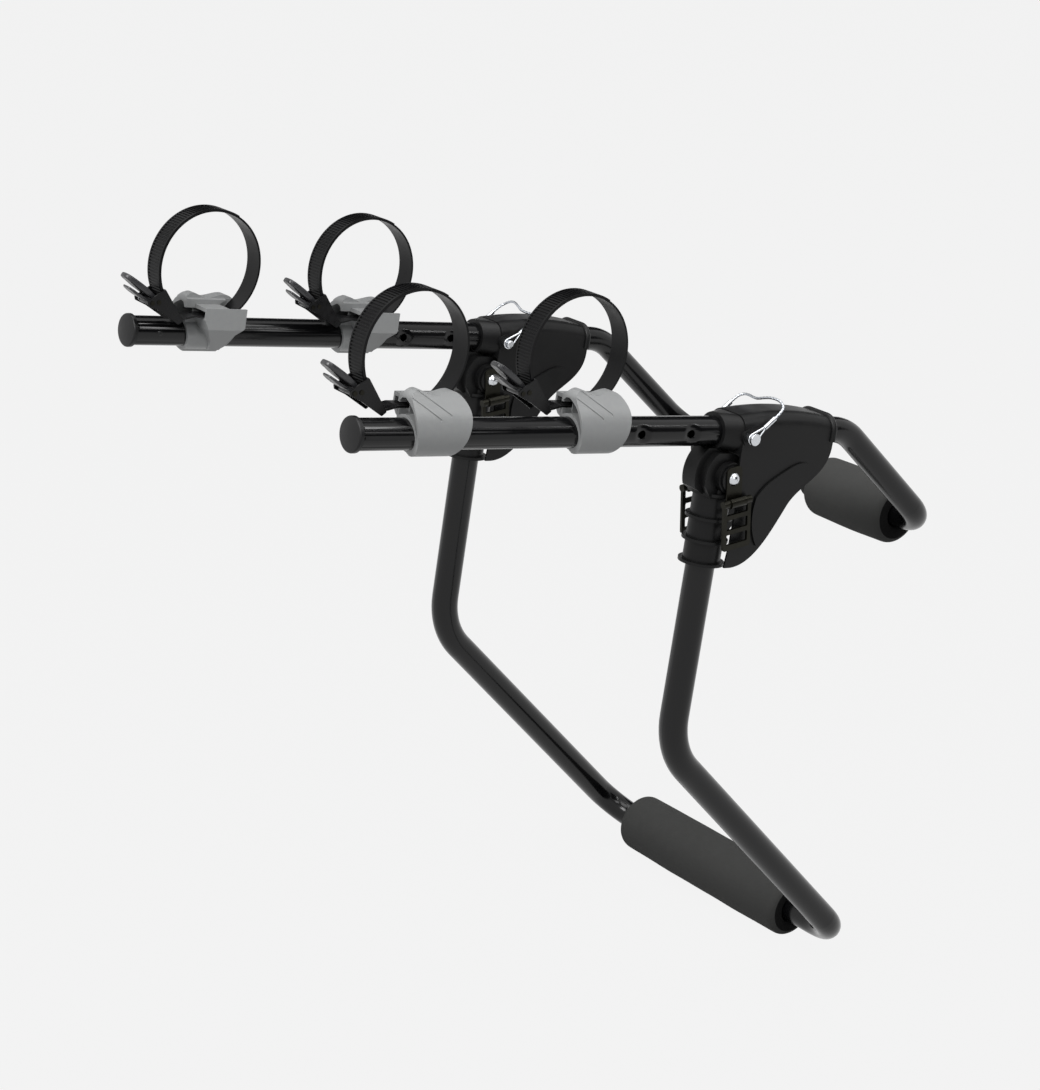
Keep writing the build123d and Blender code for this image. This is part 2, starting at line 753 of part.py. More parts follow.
def strap(centre):
    """Ladder strap: a springy loop rooted in the cradle's housing, toothed where the buckle grips."""
    outer = strap_inner + strap_thick
    tail, root = -47.0, 225.0
    back = radians(root)
    low, high = 24.0, 24.0 + strap_thick
    out_end = (loop_u + outer * cos(back), loop_v + outer * sin(back))
    in_end = (loop_u + strap_inner * cos(back), loop_v + strap_inner * sin(back))
    with BuildPart() as band:
        with BuildSketch(beside_arm(centre, w=strap_w)):
            with BuildLine():
                CenterArc((loop_u, loop_v), outer, tail, root - tail)
                Polyline(out_end, (out_end[0] + out_end[1] - low, low), (3, low), (3, high))
                Polyline((3, high), (in_end[0] + in_end[1] - high, high), in_end)
                CenterArc((loop_u, loop_v), strap_inner, root, tail - root)
                tip = radians(tail)
                Line(
                    (loop_u + strap_inner * cos(tip), loop_v + strap_inner * sin(tip)),
                    (loop_u + outer * cos(tip), loop_v + outer * sin(tip)),
                )
            make_face()
        extrude(amount=strap_width / 2, both=True)

        # Ladder of teeth between two smooth edge rails
        step = tooth_pitch / outer
        crest = outer + tooth_height
        toothed = tooth_count * step * 180 / pi
        for away in (1, -1):
            with BuildSketch(beside_arm(centre, w=strap_w + away * tooth_half)):
                with BuildLine():
                    CenterArc((loop_u, loop_v), crest, tail, toothed)
                    CenterArc((loop_u, loop_v), outer - 0.5, tail, toothed)
                    for end in (radians(tail), radians(tail + toothed)):
                        Line(
                            (loop_u + crest * cos(end), loop_v + crest * sin(end)),
                            (loop_u + (outer - 0.5) * cos(end), loop_v + (outer - 0.5) * sin(end)),
                        )
                make_face()
            extrude(amount=-away * (strap_width / 2 - tooth_half))
        with BuildSketch(beside_arm(centre, w=strap_w)):
            for index in range(tooth_count):
                start = radians(first_tooth) + index * step
                with BuildLine():
                    Polyline(
                        (loop_u + (outer - 0.5) * cos(start), loop_v + (outer - 0.5) * sin(start)),
                        (loop_u + crest * cos(start), loop_v + crest * sin(start)),
                        (loop_u + crest * cos(start + 0.3 * step), loop_v + crest * sin(start + 0.3 * step)),
                        (
                            loop_u + (outer - 0.5) * cos(start + 0.8 * step),
                            loop_v + (outer - 0.5) * sin(start + 0.8 * step),
                        ),
                        close=True,
                    )
                make_face()
        extrude(amount=tooth_half, both=True)
    return band.part


def buckle_plane(centre, w=strap_w):
    """Buckle's own side plane on the strap: local x leaves the loop, local y runs up the strap."""
    middle = strap_inner + 1.5
    angle = radians(buckle_angle)
    u = loop_u + middle * cos(angle)
    v = loop_v + middle * sin(angle)
    return beside_arm(centre + u, v, w, buckle_angle)


def buckle_base(centre):
    """Ratchet buckle's channel: floor under the strap, two flared walls, tongue into the cradle."""
    with BuildPart() as base:
        for away in (1, -1):
            with BuildSketch(buckle_plane(centre, strap_w + away * base_half)):
                with BuildLine():
                    FilletPolyline(
                        (-4.7, -29), (-4.7, 13.4), (19.5, 15.2), (21, 11), (13.5, -1.8), (2, -29),
                        radius=1.2,
                        close=True,
                    )
                make_face()
                with Locations(lever_pivot):
                    Circle(buckle_pin + 0.05, mode=Mode.SUBTRACT)
                with Locations(tab_pivot):
                    Circle(buckle_pin + 0.05, mode=Mode.SUBTRACT)
            extrude(amount=away * wall_thick)
        with BuildSketch(buckle_plane(centre)):
            with Locations((-4.7, -24.5)):
                Rectangle(1.6, 37.5, align=(Align.MIN, Align.MIN))
        extrude(amount=base_half - wall_thick / 2, both=True)
        with BuildSketch(beside_arm(centre, w=strap_w)):
            with BuildLine():
                FilletPolyline((6, 24.4), (35, 24.4), (50.4, 20.6), (57.6, 29.6), radius=(8, 5))
                offset(amount=1.6, side=Side.RIGHT)
            make_face()
        extrude(amount=tongue_half, both=True)
    return base.part


def blade(centre, route, thickness, pivot_at, hub_size, half, tip):
    """Lever blade that follows a route out from its hub, with a rounded tip."""
    with BuildPart() as piece:
        with BuildSketch(buckle_plane(centre)):
            with BuildLine():
                FilletPolyline(*route, radius=12)
                offset(amount=thickness, side=Side.LEFT)
            make_face()
            with Locations(pivot_at):
                Circle(hub_size)
        extrude(amount=half, both=True)
        with BuildSketch(buckle_plane(centre)):
            with Locations(pivot_at):
                Circle(buckle_pin + 0.05)
        extrude(amount=half + 1, both=True, mode=Mode.SUBTRACT)
        short_edges = [e for e in piece.edges() if abs(e.length - thickness) < 0.3]
        short_edges.sort(key=lambda e: e.center().Y)
        fillet(short_edges[:2], tip)
    return piece.part


def ratchet_lever(centre):
    """Pumping lever: a stiff blade with a thumb dish and a pawl that bites the strap's teeth."""
    route = ((9.6, 8), (12.5, 20), (20, 36), (27.5, 56.5))
    lever = blade(centre, route, 4.0, lever_pivot, 4.2, lever_half, 8)
    with BuildPart() as piece:
        add(lever)
        with BuildSketch(buckle_plane(centre)):
            with BuildLine():
                Polyline((6.4, 8.4), (2.3, 3.4), (8, 2.2), (6.4, 8.4))
            make_face()
        extrude(amount=lever_half, both=True)
    return piece.part


def release_tab(centre):
    """Short tab outside the lever that lifts the holding pawl."""
    route = ((17.0, 11), (21.0, 16), (24.5, 27), (29.8, 44))
    return blade(centre, route, 2.6, tab_pivot, 3.1, tab_half, 6)


def buckle_pins(centre):
    """The two steel pins that carry lever and tab, with small heads outside the walls."""
    with BuildPart() as pins:
        for at in (lever_pivot, tab_pivot):
            with BuildSketch(buckle_plane(centre)):
                with Locations(at):
                    Circle(buckle_pin)
            extrude(amount=base_half + 0.1, both=True)
            for away in (1, -1):
                with BuildSketch(buckle_plane(centre, strap_w + away * (base_half + 0.02))):
                    with Locations(at):
                        Circle(buckle_pin + 1)
                extrude(amount=-away * 0.8)
    return pins.part


def tab_spring(centre):
    """Closely wound return spring of the release tab, as the sleeve that its coils fill."""
    with BuildPart() as spring:
        with BuildSketch(buckle_plane(centre, strap_w + tab_half + 0.3)):
            with Locations(tab_pivot):
                Circle(buckle_pin + 1.2)
                Circle(buckle_pin + 0.1, mode=Mode.SUBTRACT)
        extrude(amount=-1.8)
    return spring.part


for name, centre in (("front", front_cradle_s), ("rear", rear_cradle_s)):
    save_pair(cradle(centre), "cradle_" + name)
    save_pair(strap(centre), "strap_" + name)
    save_pair(buckle_base(centre), "buckle_base_" + name)
    save_pair(ratchet_lever(centre), "ratchet_lever_" + name)
    save_pair(release_tab(centre), "release_tab_" + name)
    save_pair(buckle_pins(centre), "buckle_pins_" + name)
    save_pair(tab_spring(centre), "tab_spring_" + name)
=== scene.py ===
# %% [markdown]
# # A strap-on bicycle rack, dressed for its portrait
# The rack is two bent steel tubes, two moulded hubs, two straight arms and four turning cradles.
# Its hard parts come ready made from the CAD model, each as a mesh that already stands in place.
# This lesson gives them their finishes.
# It also makes anew the parts that a solid draws too plainly: the wire lanyards, the foam pads, the
# pressed arms, the levers, the tabs and their springs.

# %% Load the model
from math import atan2, copysign, cos, pi, radians, sin

import bmesh
import bpy
from mathutils import Matrix, Vector, noise


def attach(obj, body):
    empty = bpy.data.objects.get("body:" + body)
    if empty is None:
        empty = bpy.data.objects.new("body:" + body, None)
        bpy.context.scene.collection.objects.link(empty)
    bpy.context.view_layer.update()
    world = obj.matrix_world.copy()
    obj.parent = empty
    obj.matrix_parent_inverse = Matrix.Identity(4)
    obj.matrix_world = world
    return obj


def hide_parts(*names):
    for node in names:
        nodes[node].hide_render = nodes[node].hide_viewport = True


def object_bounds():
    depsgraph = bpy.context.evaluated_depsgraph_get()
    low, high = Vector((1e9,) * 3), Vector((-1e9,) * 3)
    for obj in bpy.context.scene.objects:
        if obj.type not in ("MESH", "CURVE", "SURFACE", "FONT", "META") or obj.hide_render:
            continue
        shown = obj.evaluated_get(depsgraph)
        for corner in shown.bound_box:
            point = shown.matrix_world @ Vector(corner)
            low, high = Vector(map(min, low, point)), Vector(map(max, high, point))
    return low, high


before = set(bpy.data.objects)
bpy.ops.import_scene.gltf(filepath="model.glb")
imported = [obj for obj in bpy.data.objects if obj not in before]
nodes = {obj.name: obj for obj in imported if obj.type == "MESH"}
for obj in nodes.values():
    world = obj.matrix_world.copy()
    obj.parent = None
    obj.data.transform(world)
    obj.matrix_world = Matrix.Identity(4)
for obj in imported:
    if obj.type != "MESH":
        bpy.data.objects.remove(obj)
bpy.context.view_layer.update()
cad_box = [[float(x) for x in corner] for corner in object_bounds()]
print("loaded", len(nodes), "nodes, box", [[round(x, 3) for x in corner] for corner in cad_box])

# %% [markdown]
# The camera stands to the rack's right, a little above it, looking at the hubs with a long lens.
# A long lens keeps the two arms nearly parallel, as the portrait of a product should be.
# It could be aimed with a constraint. Its place and its three directions were found from the
# straight edges of the tubes, though, so they are written out here.

# %% Camera
camera_place = Vector((2.1909, -2.0889, 1.0929))
camera_right = Vector((0.60501, 0.79622, 0.0))
camera_up = Vector((-0.29130, 0.22134, 0.93067))
camera_forward = Vector((-0.74102, 0.56307, -0.36585))
film_height = 36.0
lens_length = 87.66
view_depth = 50.0


def standing(place, right, up, back):
    """The matrix of something that stands at a place, its X, Y and Z along three directions."""
    return Matrix.Translation(place) @ Matrix((right, up, back)).transposed().to_4x4()


camera_data = bpy.data.cameras.new("portrait_camera")
camera_data.sensor_fit = "VERTICAL"
camera_data.sensor_height = film_height
camera_data.lens = lens_length
camera_data.clip_end = view_depth
camera = bpy.data.objects.new("portrait_camera", camera_data)
bpy.context.scene.collection.objects.link(camera)
camera.matrix_world = standing(camera_place, camera_right, camera_up, -camera_forward)
bpy.context.scene.camera = camera
print("camera", [round(x, 3) for x in camera.location])

# %% [markdown]
# ## Wire lanyards
# Each hub carries a short wire lanyard, which keeps the lock pin from getting lost.
# It leaves the eye at the pin's neck, climbs the cheek, crosses the roof and comes down to the eye
# at the pin's tip.
# Its places are given in millimetres from the hub, as the makers would give them: out along the
# arm, up from it, and outboard.

# %% Places on a hub
mm = 0.001
arm_x = 212.7
hub_point = Vector((arm_x, -317.6, 182.1))
arm_pitch = radians(11.3)
out_dir = Vector((0, -cos(arm_pitch), sin(arm_pitch)))
up_dir = Vector((0, sin(arm_pitch), cos(arm_pitch)))


def from_hub(s, n, w, side=1):
    """A place along, above and outboard of the arm, in metres, on the right (1) or left (-1)."""
    place = hub_point + out_dir * s + up_dir * n + Vector((w, 0, 0))
    return Vector((side * place.x, place.y, place.z)) * mm


print("the right hub stands at", [round(x, 3) for x in from_hub(0, 0, 0)])

# %% [markdown]
# A springy cable makes one smooth line, with no kink where it is pushed out of its way.
# Straight pieces between the points would kink, so a NURBS curve is laid over a dozen of them, and
# the points close together that Blender draws it with become the cable's line.

# %% The line of a lanyard
cable_route = (
    (-38.0, 22.0, 35.0),
    (-45.6, 28.5, 35.0),
    (-51.9, 33.8, 31.5),
    (-53.2, 38.0, 23.0),
    (-51.3, 38.8, 13.0),
    (-48.6, 36.5, 3.5),
    (-47.5, 33.4, -5.0),
    (-49.0, 32.6, -13.5),
    (-52.0, 32.8, -22.5),
    (-51.5, 32.2, -31.5),
    (-45.6, 28.5, -35.0),
    (-38.0, 22.0, -35.0),
)
curve_order = 3
curve_steps = 12


def route_points(side):
    """Points close together on the smooth line over the route, as a NURBS curve gives them."""
    curve = bpy.data.curves.new("route", "CURVE")
    curve.dimensions = "3D"
    spline = curve.splines.new("NURBS")
    spline.points.add(len(cable_route) - 1)
    for point, place in zip(spline.points, cable_route):
        point.co = (*from_hub(*place, side), 1.0)
    spline.order_u = curve_order
    spline.use_endpoint_u = True
    spline.resolution_u = curve_steps
    route = bpy.data.objects.new("route", curve)
    line = bpy.data.meshes.new_from_object(route)
    points = [vert.co.copy() for vert in line.vertices]
    bpy.data.objects.remove(route)
    bpy.data.curves.remove(curve)
    bpy.data.meshes.remove(line)
    return points


print(len(cable_route), "places on the route")

# %% [markdown]
# The rope is laid up from six strands that wind round each other once in 26 mm.
# A round bevel on the curve would be quicker, but it would look like a rod.
# So a ring with six lobes is carried along the line instead, and turned a little at each step.
# Each step starts from the direction of the one before, so the ring doesn't spin in the bends.

# %% Sections along the cable
cable_diameter = 0.003
strand_count = 6
strand_depth = 0.16
strand_lay = 0.026


def cable_sections(points):
    """A matrix at each point of the line, carried along and turned steadily, as strands are."""
    sections = []
    across = (points[1] - points[0]).orthogonal()
    travelled = 0.0
    for index, point in enumerate(points):
        before = points[max(index - 1, 0)]
        after = points[min(index + 1, len(points) - 1)]
        along = (after - before).normalized()
        across = (across - along * across.dot(along)).normalized()
        travelled += (point - before).length
        twist = Matrix.Rotation(2 * pi * travelled / strand_lay, 4, "Z")
        sections.append(standing(point, across, along.cross(across), along) @ twist)
    return sections


# %% [markdown]
# Most long parts in this lesson are made in the same way as the cable: one ring of edges is
# extruded where it is, and its new points are then moved, turned or scaled to the next section.
# Two helpers do what they share, and the lanyard is the first to use them.

# %% A ring becomes a lanyard
def extrude_ring(bm, ring):
    """Extrude a ring of edges where it is, and return its new points and its new edges."""
    grown = bmesh.ops.extrude_edge_only(bm, edges=ring)["geom"]
    points = [part for part in grown if isinstance(part, bmesh.types.BMVert)]
    edges = [part for part in grown if isinstance(part, bmesh.types.BMEdge)]
    return points, [edge for edge in edges if all(vert in points for vert in edge.verts)]


def object_from(bm, name):
    """Turn a bmesh into an object of the scene, and free the bmesh."""
    mesh = bpy.data.meshes.new(name)
    bm.to_mesh(mesh)
    bm.free()
    made = bpy.data.objects.new(name, mesh)
    bpy.context.scene.collection.objects.link(made)
    return made


def lanyard(name, points):
    """One wire lanyard: a ring with a lobe for each strand, carried along its line as it turns."""
    sections = cable_sections(points)
    bm = bmesh.new()
    bmesh.ops.create_circle(bm, segments=4 * strand_count, radius=cable_diameter / 2)
    for vert in bm.verts:
        angle = atan2(vert.co.y, vert.co.x)
        vert.co *= 1 - strand_depth * (1 - cos(strand_count * angle)) / 2
    bmesh.ops.transform(bm, verts=bm.verts, matrix=sections[0])
    ring = list(bm.edges)
    bmesh.ops.contextual_create(bm, geom=ring)
    for before, after in zip(sections, sections[1:]):
        new_points, ring = extrude_ring(bm, ring)
        bmesh.ops.transform(bm, verts=new_points, matrix=after @ before.inverted())
    bmesh.ops.contextual_create(bm, geom=ring)
    bmesh.ops.recalc_face_normals(bm, faces=bm.faces)
    for face in bm.faces:
        face.smooth = len(face.verts) == 4
    return object_from(bm, name)


print("a ring has", 4 * strand_count, "points")

# %% The two lanyards
cables = []
for side, word in ((1, "right"), (-1, "left")):
    points = route_points(side)
    cable = lanyard("wire_lanyard_" + word, points)
    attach(cable, "rack")
    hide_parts("lanyard_cable_" + word)
    cables.append(cable)
    measured = sum((after - before).length for before, after in zip(points, points[1:]))
    print(cable.name, len(cable.data.polygons), "faces,", round(measured / mm, 2), "mm long")

# %% [markdown]
# ## The studio
# The portrait is shot on a pale sweep, with soft light from all round and a broad lamp high on the
# left.
# Black parts show their form only through what they mirror, so the pale world and floor do as much
# as the lamps: they lay a thin bright line along the underside of every tube.
# Lamps that lit a background would light the rack too, so this one shines by itself, and only for
# rays that come from the camera, off a gloss or through glass.

# %% Colours and nodes
def srgb(code):
    """A hex colour such as 8A8C8E, as the linear colour that shaders work in."""
    channels = [int(code[i : i + 2], 16) / 255 for i in (0, 2, 4)]
    linear = [c / 12.92 if c <= 0.04045 else ((c + 0.055) / 1.055) ** 2.4 for c in channels]
    return (*linear, 1.0)


def add_node(tree, kind, settings=None, links=None):
    """Add one shader node, set what settings names, and link its inputs as links says."""
    node = tree.nodes.new(kind)
    for key, value in (settings or {}).items():
        if isinstance(key, str) and key not in node.inputs:
            setattr(node, key, value)
        else:
            node.inputs[key].default_value = value
    for key, socket in (links or {}).items():
        tree.links.new(socket, node.inputs[key])
    return node


def new_finish(name):
    """A material with nothing in it but its output."""
    finish = bpy.data.materials.new(name)
    finish.use_nodes = True
    finish.node_tree.nodes.clear()
    output = add_node(finish.node_tree, "ShaderNodeOutputMaterial")
    return finish, finish.node_tree, output


def seen_directly(tree):
    """One for rays from the camera, off a gloss or through glass, and zero for the rest."""
    path = add_node(tree, "ShaderNodeLightPath")
    seen = path.outputs["Is Camera Ray"]
    for ray in ("Is Glossy Ray", "Is Transmission Ray"):
        larger = {0: seen, 1: path.outputs[ray]}
        seen = add_node(tree, "ShaderNodeMath", {"operation": "MAXIMUM"}, larger).outputs[0]
    return seen


print("middle grey is", round(srgb("808080")[0], 3), "to a shader")

# %% The pale world
background_colour = "F4F4F4"
room_colour = "E8ECF0"
room_light = 0.22

world = bpy.data.worlds.new("pale_room")
bpy.context.scene.world = world
world.use_nodes = True
tree = world.node_tree
tree.nodes.clear()
room_glow = {"Color": srgb(room_colour), "Strength": room_light}
room = add_node(tree, "ShaderNodeBackground", room_glow)
sweep_glow = {"Color": srgb(background_colour), "Strength": 1.0}
sweep = add_node(tree, "ShaderNodeBackground", sweep_glow)
choice = {0: seen_directly(tree), 1: room.outputs[0], 2: sweep.outputs[0]}
mixed = add_node(tree, "ShaderNodeMixShader", None, choice)
add_node(tree, "ShaderNodeOutputWorld", None, {"Surface": mixed.outputs[0]})
print("room light", room_light)

# %% [markdown]
# The floor lies just below the rack's lowest point.
# It is nearly all glow, the colour of the background, and its small matt share catches a faint
# shadow. An all matt floor would come out darker than the world behind it and show its horizon.

# %% The floor
floor_share = 0.975
floor_gap = 0.0005
floor_reach = 45.0
floor_colour = "B4B4B4"

floor_z = cad_box[0][2] - floor_gap
bm = bmesh.new()
bmesh.ops.create_grid(bm, x_segments=1, y_segments=1, size=floor_reach)
bmesh.ops.translate(bm, verts=bm.verts, vec=(0, 0, floor_z))
floor = object_from(bm, "floor")

floor_finish, tree, output = new_finish("pale_floor")
product = {"operation": "MULTIPLY", 1: floor_share}
share = add_node(tree, "ShaderNodeMath", product, {0: seen_directly(tree)})
matt = add_node(tree, "ShaderNodeBsdfDiffuse", {"Color": srgb(floor_colour)})
glow = add_node(tree, "ShaderNodeEmission", sweep_glow)
choice = {0: share.outputs[0], 1: matt.outputs[0], 2: glow.outputs[0]}
mixed = add_node(tree, "ShaderNodeMixShader", None, choice)
tree.links.new(mixed.outputs[0], output.inputs["Surface"])
floor.data.materials.append(floor_finish)
print("floor at", round(floor_z, 4))

# %% [markdown]
# Four soft lamps shape the black parts.
# The key lamp lights the front from above, and the roof lamp lights the tops of the tubes.
# A weak side lamp opens the shadows, and a long thin strip draws a crisp line along the arms.
# Each is a rectangle, because small round lamps would leave hot spots on the powder coat.

# %% Lamps
rack_middle = Vector((0.0, -0.35, 0.0))
lamps = (
    ("key_lamp", (0.6, -2.6, 2.4), 1.8, 1.2, 78, (1, 0, 0)),
    ("roof_lamp", (0.2, 0.0, 2.6), 2.6, 2.0, 52, (1, 0, 0)),
    ("side_lamp", (2.5, -0.6, 1.9), 1.2, 0.7, 12, (0, 0, 1)),
    ("strip_lamp", (1.66, 0.86, 1.68), 1.7, 0.10, 9, (0, 1, 0)),
)


def soft_lamp(name, place, width, height, watts, long_way):
    """A soft lamp that looks at the rack's middle, its width as near to long_way as it can be."""
    lamp_data = bpy.data.lights.new(name, "AREA")
    lamp_data.shape = "RECTANGLE"
    lamp_data.size = width
    lamp_data.size_y = height
    lamp_data.energy = watts
    lamp = bpy.data.objects.new(name, lamp_data)
    bpy.context.scene.collection.objects.link(lamp)
    back = (Vector(place) - rack_middle).normalized()
    across = Vector(long_way)
    across = (across - back * across.dot(back)).normalized()
    lamp.matrix_world = standing(place, across, back.cross(across), back)
    return lamp


for row in lamps:
    lamp = soft_lamp(*row)
    print(lamp.name, lamp.data.energy, "W")
bpy.context.scene.view_settings.view_transform = "Standard"

# %% [markdown]
# Glossy black in an all-white room looks grey, so photographers stand dark cards beside it.
# These two are met only by mirrored rays: one is what the sides of the tubes reflect, the other
# what the roofs of the hubs reflect. Neither darkens the room or shows in the picture.

# %% Dark cards
card_colour = "1A1A1C"
cards = (
    ("side_card", (2.7, 1.5, 1.7), (-1, 0, 0), 3.2, 3.1),
    ("rear_card", (-2.9, 2.4, 2.2), (0.74, -0.66, -0.1), 4.4, 3.2),
)

card_finish, tree, output = new_finish("dark_card")
path = add_node(tree, "ShaderNodeLightPath")
clear = add_node(tree, "ShaderNodeBsdfTransparent")
dark = add_node(tree, "ShaderNodeEmission", {"Color": srgb(card_colour), "Strength": 1.0})
choice = {0: path.outputs["Is Glossy Ray"], 1: clear.outputs[0], 2: dark.outputs[0]}
mixed = add_node(tree, "ShaderNodeMixShader", None, choice)
tree.links.new(mixed.outputs[0], output.inputs["Surface"])

for name, place, facing, width, height in cards:
    back = -Vector(facing).normalized()
    across = Vector((0, 0, 1)).cross(back).normalized()
    bm = bmesh.new()
    bmesh.ops.create_grid(bm, x_segments=1, y_segments=1, size=0.5)
    bmesh.ops.scale(bm, verts=bm.verts, vec=(width, height, 1))
    stand = standing(place, across, back.cross(across), back)
    bmesh.ops.transform(bm, verts=bm.verts, matrix=stand)
    card = object_from(bm, name)
    card.data.materials.append(card_finish)
    print(name, width, "by", height, "m")

# %% [markdown]
# ## Finishes
# No real surface is quite even: its colour and its gloss drift a little from patch to patch, and
# its skin is never flat.
# Painted textures would need unwrapped parts. Noise that reads each part's own coordinates needs
# none, and its scale can be a real size.
# One helper starts a finish, one lets it drift, and one raises the skin.

# %% Helpers for finishes
noise_roughness = 0.6
noise_low, noise_high = 0.3, 0.7


def finish_from(name, settings):
    """A principled shader in its own material, and the coordinates that its patterns read."""
    finish, tree, output = new_finish(name)
    shader = add_node(tree, "ShaderNodeBsdfPrincipled", settings)
    tree.links.new(shader.outputs["BSDF"], output.inputs["Surface"])
    place = add_node(tree, "ShaderNodeTexCoord").outputs["Object"]
    return finish, tree, shader, place


def drift(tree, shader, place, patch, tints, gloss, detail=3.0):
    """Let colour and roughness drift between two values, over patches of a real size in metres."""
    clouds = {"Scale": 1 / patch, "Detail": detail, "Roughness": noise_roughness}
    share = add_node(tree, "ShaderNodeTexNoise", clouds, {"Vector": place}).outputs["Fac"]
    between = {"data_type": "RGBA", 6: srgb(tints[0]), 7: srgb(tints[1])}
    tint = add_node(tree, "ShaderNodeMix", between, {0: share})
    tree.links.new(tint.outputs[2], shader.inputs["Base Color"])
    spread = {"From Min": noise_low, "From Max": noise_high, "To Min": gloss[0], "To Max": gloss[1]}
    rough = add_node(tree, "ShaderNodeMapRange", spread, {"Value": share})
    tree.links.new(rough.outputs["Result"], shader.inputs["Roughness"])


def raise_skin(tree, shader, place, grain, depth, strength, cells=False, detail=2.0):
    """Raise clouds, or rounded cells, whose grain and depth are real sizes in metres."""
    if cells:
        pattern = add_node(tree, "ShaderNodeTexVoronoi", {"Scale": 1 / grain}, {"Vector": place})
        height = pattern.outputs["Distance"]
    else:
        clouds = {"Scale": 1 / grain, "Detail": detail}
        height = add_node(tree, "ShaderNodeTexNoise", clouds, {"Vector": place}).outputs["Fac"]
    relief = {"Strength": strength, "Distance": depth}
    bump = add_node(tree, "ShaderNodeBump", relief, {"Height": height})
    tree.links.new(bump.outputs["Normal"], shader.inputs["Normal"])


print("clouds are spread from", noise_low, "to", noise_high)

# %% [markdown]
# Every tube is mild steel with a satin black powder coat.
# The powder melts into a skin with a faint orange peel, a ripple of about 1.6 mm, which breaks up
# the long highlights.

# %% Powder-coated steel
coat_patch = 30 * mm
orange_peel = 1.6 * mm
peel_depth = 0.01 * mm

powder_coat, tree, shader, place = finish_from("black_powder_coat", {"Specular IOR Level": 0.32})
drift(tree, shader, place, coat_patch, ("0A0A0B", "0D0D0E"), (0.15, 0.2))
raise_skin(tree, shader, place, orange_peel, peel_depth, 0.5)
print(powder_coat.name, "has", len(tree.nodes), "nodes")

# %% [markdown]
# The hubs and the leg knuckles are injection-moulded nylon, black all through.
# The mould was spark eroded, which leaves a fine even grain and a dull sheen.
# The real grain is about 0.2 mm, too fine to show here, so it is drawn at 0.8 mm.
# The caps of the arms are plain polyethylene, smoother and waxy, and the collars beside the foam
# pads are matt rubber.

# %% Moulded black nylon, caps and collars
mould_patch = 30 * mm
mould_grain = 0.8 * mm
mould_depth = 0.06 * mm
cap_patch = 12 * mm
rubber_patch = 8 * mm

hub_nylon, tree, shader, place = finish_from("moulded_black_nylon", {"Specular IOR Level": 0.2})
drift(tree, shader, place, mould_patch, ("0D0D0E", "131313"), (0.33, 0.44))
raise_skin(tree, shader, place, mould_grain, mould_depth, 0.35, cells=True)

cap_plastic, tree, shader, place = finish_from("black_polyethylene", {"Specular IOR Level": 0.28})
drift(tree, shader, place, cap_patch, ("0E0E0F", "131314"), (0.36, 0.48))

collar_rubber, tree, shader, place = finish_from("black_rubber", {"Specular IOR Level": 0.3})
drift(tree, shader, place, rubber_patch, ("0B0B0B", "121212"), (0.6, 0.8))
print(hub_nylon.name, cap_plastic.name, collar_rubber.name)

# %% [markdown]
# The cradles are moulded from a mid-grey glass-filled nylon.
# The glass makes the skin slightly mottled, and a little shinier where it flowed smoothly.

# %% Grey cradle nylon
flow_patch = 6 * mm
flow_grain = 1.1 * mm
flow_depth = 0.04 * mm

cradle_nylon, tree, shader, place = finish_from("grey_glass_filled_nylon", {})
drift(tree, shader, place, flow_patch, ("88898A", "929392"), (0.34, 0.46))
raise_skin(tree, shader, place, flow_grain, flow_depth, 0.5)
print(cradle_nylon.name, "has", len(tree.nodes), "nodes")

# %% [markdown]
# The straps are a flexible urethane and the buckles a hard nylon, both black and softly polished.
# The levers and tabs are the same nylon. They are painted greyer all over, a painted sheen for the
# light their glossy flanks catch, and they are a little shinier in places.

# %% Straps, buckles and levers
strap_patch = 10 * mm
scuff_grain = 2 * mm
scuff_depth = 0.03 * mm
buckle_patch = 8 * mm
sheen_patch = 4 * mm

strap_urethane, tree, shader, place = finish_from("black_urethane", {"Specular IOR Level": 0.15})
drift(tree, shader, place, strap_patch, ("09090A", "0D0D0E"), (0.28, 0.40))
raise_skin(tree, shader, place, scuff_grain, scuff_depth, 0.4, detail=3.0)

buckle_nylon, tree, shader, place = finish_from("black_hard_nylon", {"Specular IOR Level": 0.25})
drift(tree, shader, place, buckle_patch, ("0C0C0D", "121213"), (0.24, 0.36))

# Painted sheen: the levers' and tabs' grey tints are lighter than the buckles' and stand in for
# light on their flanks.
paddle_nylon_painted_sheen, tree, shader, place = finish_from("worn_black_nylon", {})
drift(tree, shader, place, sheen_patch, ("262628", "353537"), (0.22, 0.4))
print(strap_urethane.name, buckle_nylon.name, paddle_nylon_painted_sheen.name)

# %% [markdown]
# Three sorts of metal are left bare of paint.
# Pins, bolts and rivets are bright zinc plate, with the soft clouds that the plating bath leaves.
# The ladder buckles and their brackets are steel with a black zinc finish, which has an olive sheen
# and fine pits, drawn at 1.2 mm so that they show.
# The lanyards' rope is drawn from galvanised wire, a little greyer than the pins.

# %% Zinc plate, black plate and wire rope
bath_patch = 3 * mm
plate_patch = 6 * mm
pit_grain = 1.2 * mm
pit_depth = 0.04 * mm
wire_patch = 2 * mm

bright_zinc, tree, shader, place = finish_from("bright_zinc_plate", {"Metallic": 1.0})
drift(tree, shader, place, bath_patch, ("BFC3C9", "E2E4E6"), (0.16, 0.32))

dark_plate, tree, shader, place = finish_from("black_zinc_plate", {"Metallic": 0.85})
drift(tree, shader, place, plate_patch, ("191814", "2A2922"), (0.28, 0.44))
raise_skin(tree, shader, place, pit_grain, pit_depth, 0.5, detail=3.0)

wire_rope, tree, shader, place = finish_from("zinc_wire_rope", {"Metallic": 1.0})
drift(tree, shader, place, wire_patch, ("A2A6AC", "C6C9CE"), (0.2, 0.34))
for cable in cables:
    cable.data.materials.append(wire_rope)
print(bright_zinc.name, dark_plate.name, wire_rope.name)

# %% [markdown]
# Each finish now goes to the CAD nodes that have it, by the start of their names.
# The first start that fits is taken, so the caps come before the arms. What fits none is zinc.

